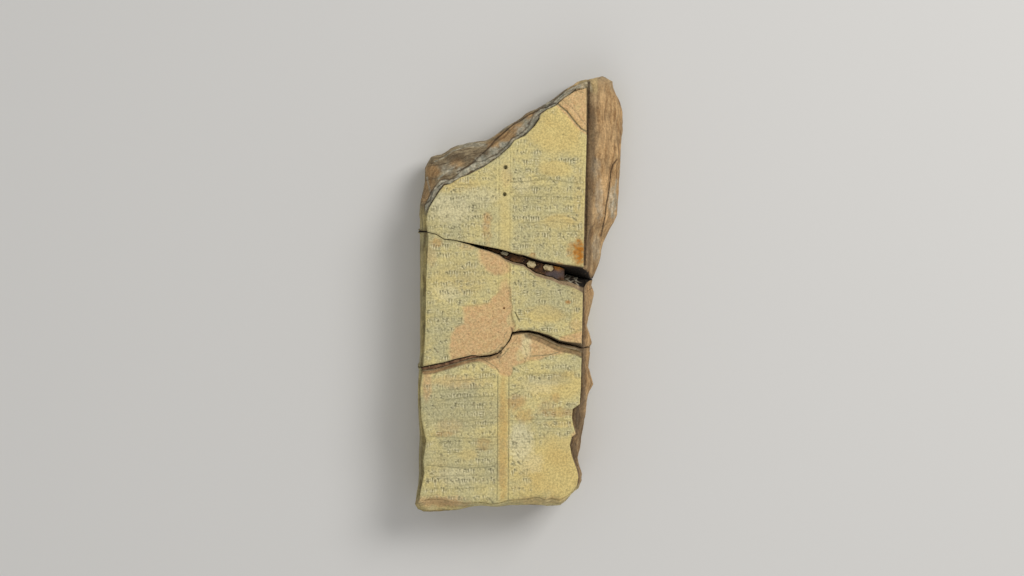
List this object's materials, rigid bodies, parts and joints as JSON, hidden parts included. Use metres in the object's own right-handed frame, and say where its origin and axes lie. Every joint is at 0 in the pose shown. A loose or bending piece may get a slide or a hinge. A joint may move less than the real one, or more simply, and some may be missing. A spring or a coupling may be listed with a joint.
{
  "type": "cuneiform tablet",
  "caption": "Long fragment of a clay writing tablet, rejoined across two breaks, with two columns of wedge-shaped marks on its flat face and one rounded edge.",
  "frame": {"origin": "centre of the bounding box's underside, on the flat of the reverse that it lies on", "axes": "+Z out of the inscribed face, +Y up the columns of writing, +X towards the broken right side"},
  "size_m": [0.107, 0.223, 0.036],
  "materials": {
    "clay": "matt yellowish-buff clay with grey-green grime in the writing and pinkish cores where it has flaked",
    "fill": "dull dark-brown repair fill",
    "crumb": "matt cream clay"
  },
  "bodies": {
    "root": {"upper_fragment": "clay", "middle_fragment": "clay", "lower_fragment": "clay", "upper_joint_fill": "fill", "lower_joint_fill": "fill", "clay_crumb_1": "crumb", "clay_crumb_2": "crumb", "clay_crumb_3": "crumb"}
  },
  "joints": []
}
